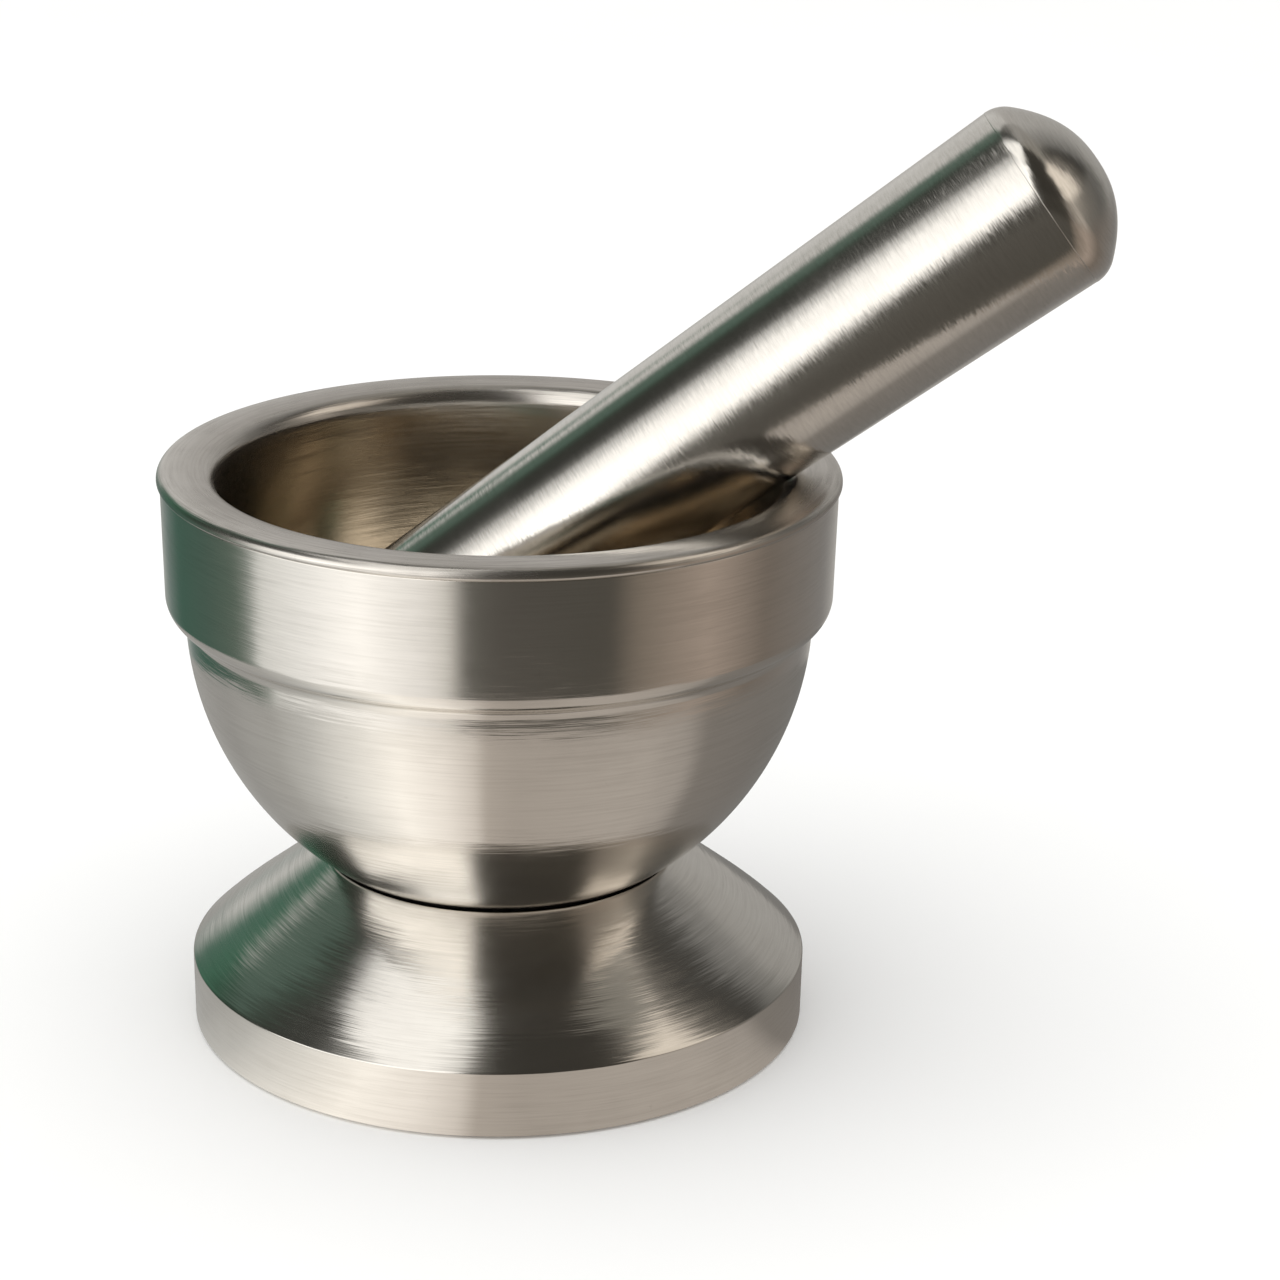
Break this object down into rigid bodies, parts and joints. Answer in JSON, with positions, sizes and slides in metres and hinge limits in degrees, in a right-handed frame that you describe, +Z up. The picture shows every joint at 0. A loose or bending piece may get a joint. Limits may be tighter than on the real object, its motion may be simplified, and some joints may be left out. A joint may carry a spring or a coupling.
{
  "type": "mortar and pestle",
  "caption": "Round-bottomed brushed steel mortar on a flared foot, with a tapered pestle that rests in the bowl, for crushing and grinding.",
  "frame": {"origin": "centre of the anti-slip pad's underside, on the mortar's axis", "axes": "+Z up along the mortar's axis, +X towards the side of the lip that the pestle leans on"},
  "size_m": [0.1375, 0.1, 0.1398],
  "materials": {
    "polished_bowl": "brushed round the axis",
    "shell_steel": "brushed round the axis",
    "pestle_steel": "brushed across the length",
    "plain_steel": "mill finish",
    "zinc_steel": "bright zinc",
    "cast_weight": "as cast",
    "grip_rubber": "matt"
  },
  "bodies": {
    "mortar": {"grinding_bowl": "polished_bowl", "bowl_outer_shell": "shell_steel", "bowl_support_pad": "plain_steel", "foot_shell": "shell_steel", "clamp_plate": "plain_steel", "bowl_stud": "zinc_steel", "lock_washer": "zinc_steel", "stud_nut": "zinc_steel", "foot_ballast": "cast_weight", "base_plate": "plain_steel", "anti_slip_pad": "grip_rubber"},
    "pestle": {"pestle_barrel": "pestle_steel", "pestle_head_cap": "pestle_steel", "pestle_tip_cap": "pestle_steel", "pestle_core": "plain_steel"}
  },
  "joints": [
    {"name": "pestle_lift", "type": "slide", "parent": "mortar", "child": "pestle", "axis": [0, 0, 1], "range_m": [0, 0.065]}
  ]
}
